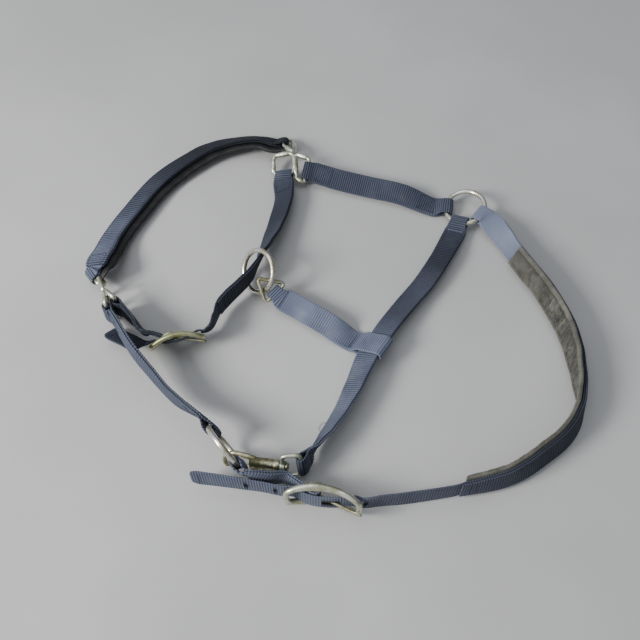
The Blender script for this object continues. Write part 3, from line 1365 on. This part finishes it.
def snap_eye():
    half = SNAP_EYE_WIDTH * 15.6
    corners = [SNAP_EYE - half, SNAP_EYE + half, SNAP_EYE_BAR + half, SNAP_EYE_BAR - half]
    washer = [(-2.6, 4.9), (-2.2, 5.4), (1.8, 5.4), (2.2, 4.9)]
    casting("snap_eye_cast", "snap_swivel_eye",
            [wire_loop(corners, EYE_BAR + 0.03, 5.0), snap_lathe(SNAP_EYE, washer)],
            GREEN_METAL, "halter", voxel=0.36, smoothing=4,
            cutters=[snap_lathe(SNAP_EYE, [(-8.0, 2.85), (8.0, 2.85)])])


def snap_body():
    """Swivel post and barrel, the hook, and the slotted tube of the bolt."""
    barrel = [(5.0, 1.4), (4.8, 3.4), (4.2, 4.0), (2.9, 4.0), (2.6, 3.6), (2.6, 2.4),
              (-3.0, 2.4), (-3.0, 4.6), (-3.6, 5.1), (-5.0, 5.5), (-7.0, 5.6), (-8.0, 5.2),
              (-9.0, 5.2), (-10.0, 5.6), (-29.0, 5.6), (-31.0, 5.2), (-32.0, 4.2)]
    reach, rise = 9.6, 8.2          # half axes of the hook's bend
    hook = [(SNAP_LENGTH - 29.0, 2.4), (reach + 9.5, 4.6), (reach + 5.0, 5.8), (7.0, 7.5)]
    for degrees in range(90, 208, 8):
        angle = math.radians(degrees)
        hook.append((reach * math.cos(angle), rise * math.sin(angle)))
    hook += [(-7.4, BOLT_DROP + 0.4), (-4.6, BOLT_DROP)]
    last = len(hook) - 1
    radii = np.interp(range(len(hook)), [0, 3, 8, last - 1, last], [2.9, 2.4, 2.15, 2.2, 1.7])
    points = [SNAP_HOOK + SNAP_AXIS * x + SNAP_UP * y for x, y in hook]
    bolt_tube = [(-SNAP_LENGTH + 16.2, 3.2), (-SNAP_LENGTH + 17.2, 4.1), (-12.6, 4.1),
                 (-9.4, 1.7)]
    slot_center = BOLT_LINE - SNAP_UP * 4.1 - SNAP_AXIS * 23.3
    casting("snap_body_cast", "snap_body",
            [snap_lathe(SNAP_EYE, barrel, 40), tube(points, radii, 20, up=SNAP_SIDE),
             snap_lathe(BOLT_LINE, bolt_tube)],
            DARK_METAL, voxel=0.34, smoothing=4,
            cutters=[snap_lathe(BOLT_LINE, [(-SNAP_LENGTH + 10.0, 2.2), (-14.0, 2.2)]),
                     box(slot_center, SNAP_AXES, (15.0, 2.7, 6.5))])


def snap_bolt():
    """Sliding bolt with a ridged thumb piece below it."""
    bolt = [(-SNAP_LENGTH - 1.8, 1.2), (-SNAP_LENGTH - 1.2, 1.7), (-SNAP_LENGTH - 0.6, 1.8),
            (-24.4, 1.8)]
    thumb = BOLT_LINE - SNAP_AXIS * 27.5
    shapes = [snap_lathe(BOLT_LINE, bolt, 24),
              box(thumb - SNAP_UP * 3.6, SNAP_AXES, (4.0, 1.9, 6.4))]
    for i, drop in enumerate((6.6, 6.9, 6.9, 6.9, 6.6)):
        ridge = BOLT_LINE + SNAP_AXIS * (-30.0 + i * 1.25) - SNAP_UP * drop
        shapes.append(tube([ridge + SNAP_SIDE * z for z in (-1.5, 1.5)], 0.62, 12))
    shapes.append(box(thumb - SNAP_UP * 6.2, SNAP_AXES, (5.6, 3.0, 1.2)))
    casting("snap_bolt_cast", "snap_bolt", shapes, NICKEL,
            voxel=0.24, smoothing=2)


def snap_spring():
    """Coil behind the bolt, its end turns closed up; it squashes as the bolt slides."""
    start, end, turns = -24.1, -14.3, 5.0
    points = []
    for i in range(161):
        part = i / 160
        open_part = clamp01((part * turns - 0.5) / (turns - 1.0))
        rise = open_part * 0.90 + 0.05 + 0.05 * (part * 2 - 1)
        angle = 2 * math.pi * turns * part
        points.append(BOLT_LINE + SNAP_AXIS * (start + 0.4 + (end - start - 0.8) * rise)
                      + (SNAP_SIDE * math.cos(angle) + SNAP_UP * math.sin(angle)) * 1.45)
    spring = make("snap_spring_coil", tube(points, 0.35, 12, up=SNAP_AXIS), STEEL,
                  "snap_body", "snap_spring")
    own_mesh(spring)


snap_eye()
snap_body()
snap_bolt()
snap_spring()

loose_thread("loose_thread_throat", throat, throat.nearest(vec(12.0, -125.0, 13.0)),
             -12.4, 1.2,
             [(-3.2, -2.0, 1.0), (-6.4, -0.6, 1.6), (-7.4, 4.2, 1.2), (-5.2, 7.4, 0.4),
              (-1.8, 8.2, 0.0)], radius=0.20)


# ================================================================ surroundings
def make_floor():
    pale = Shader("pale_floor")
    cloud = pale.ramp(pale.noise(scale=3.0, detail=3.0), start=0.35, end=0.7)
    material = pale.finish({
        "Base Color": pale.mix(cloud, under=(0.43, 0.43, 0.425), over=(0.48, 0.48, 0.475)),
        "Roughness": 0.9,
        "Specular IOR Level": 0.2})
    bm = bmesh.new()
    bmesh.ops.create_grid(bm, x_segments=1, y_segments=1, size=3.0)
    mesh = bpy.data.meshes.new("floor")
    bm.to_mesh(mesh)
    bm.free()
    mesh.materials.append(material)
    floor = bpy.data.objects.new("floor", mesh)
    floor.location = (0, 0, -0.0004)
    bpy.context.scene.collection.objects.link(floor)


def make_world(rgb, bright_side, span, strengths):
    """Sky whose strength runs between two values as a direction turns to its bright side."""
    world = bpy.data.worlds.new("studio")
    bpy.context.scene.world = world
    world.use_nodes = True
    tree = world.node_tree
    background = tree.nodes["Background"]
    coords = tree.nodes.new("ShaderNodeTexCoord")
    facing = tree.nodes.new("ShaderNodeVectorMath")
    facing.operation = "DOT_PRODUCT"
    facing.inputs[1].default_value = unit(bright_side)
    strength = tree.nodes.new("ShaderNodeMapRange")
    for name, value in zip(("From Min", "From Max", "To Min", "To Max"), span + strengths):
        strength.inputs[name].default_value = value
    tree.links.new(coords.outputs["Generated"], facing.inputs[0])
    tree.links.new(facing.outputs["Value"], strength.inputs["Value"])
    tree.links.new(strength.outputs[0], background.inputs[1])
    background.inputs[0].default_value = (*rgb, 1)


def area_light(name, place, size, power, rgb):
    """Square light aimed at the frame's origin."""
    light = bpy.data.lights.new(name, "AREA")
    light.shape = "RECTANGLE"
    light.size = size
    light.size_y = size
    light.energy = power
    light.color = rgb
    ob = bpy.data.objects.new(name, light)
    ob.location = place
    ob.rotation_euler = (-Vector(place)).to_track_quat("-Z", "Y").to_euler()
    bpy.context.scene.collection.objects.link(ob)


def make_camera(lens, pitch, height):
    """Camera above x = 0 of the layout, looking down by pitch at the layout's origin."""
    data = bpy.data.cameras.new("camera")
    data.sensor_width = 36
    data.lens = lens
    camera = bpy.data.objects.new("camera", data)
    camera.location = Vector(to_frame(vec(0, -height / math.tan(pitch), height)))
    camera.rotation_euler = (math.pi / 2 - pitch, 0, 0)
    bpy.context.scene.collection.objects.link(camera)
    bpy.context.scene.camera = camera


make_floor()
make_world(rgb=(0.88, 0.92, 1.0), bright_side=(-0.75, -0.40, 0.45),
           span=(-0.55, 0.95), strengths=(0.10, 0.85))
area_light("key", place=(-1.50, -0.72, 1.12), size=0.6, power=50, rgb=(1.0, 0.985, 0.96))
area_light("top", place=(-0.3, 0.2, 2.0), size=1.4, power=8, rgb=(0.96, 0.98, 1.0))
make_camera(lens=39.99375, pitch=math.radians(57.0), height=634.0)
